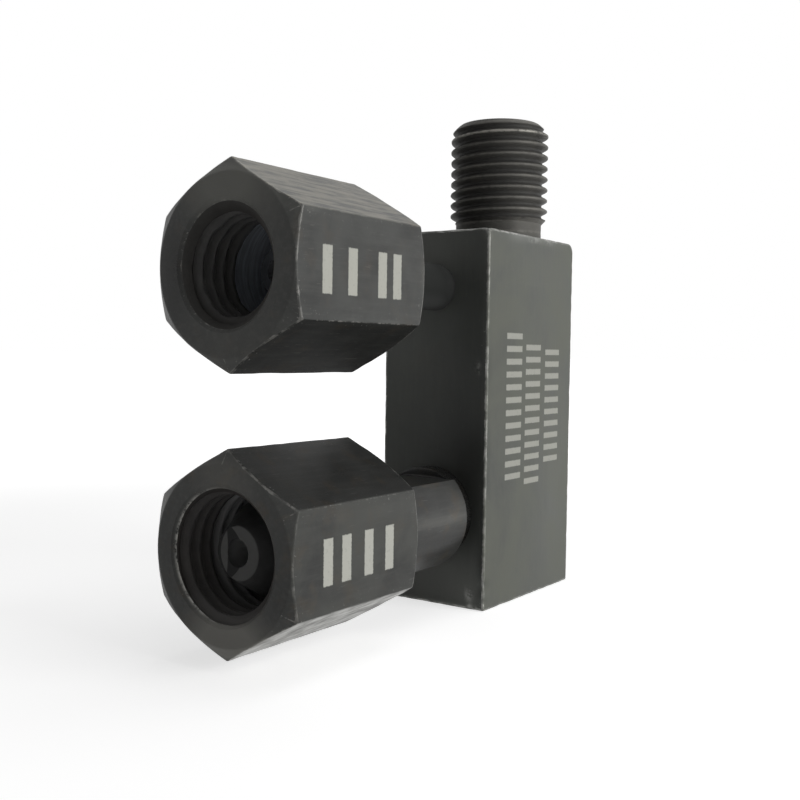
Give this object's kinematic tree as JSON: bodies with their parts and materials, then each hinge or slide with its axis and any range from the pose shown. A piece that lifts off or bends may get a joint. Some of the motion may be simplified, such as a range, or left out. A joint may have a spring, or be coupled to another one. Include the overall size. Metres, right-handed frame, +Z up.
{
  "type": "high-pressure fuel pipe adapter block",
  "caption": "Milled steel adapter block for high-pressure fuel pipes, with a male threaded outlet on top and female hexagon couplings on its front.",
  "frame": {"origin": "centre of the block's bottom face", "axes": "+Z up along the outlet stud, -Y out of the couplings' mouths, X across the block's width"},
  "size_m": [0.019, 0.0629, 0.0653],
  "materials": {
    "block_steel": "black oxide on milled steel, satin",
    "stud_steel": "black oxide on turned steel, satin",
    "coupling_steel": "black oxide on turned steel, worn pale at the edges",
    "nipple_steel": "turned steel, dull grey"
  },
  "bodies": {
    "root": {"block": "block_steel", "outlet_stud": "stud_steel", "upper_coupling": "coupling_steel", "lower_coupling": "coupling_steel", "upper_nipple": "nipple_steel", "lower_nipple": "nipple_steel"}
  },
  "joints": []
}
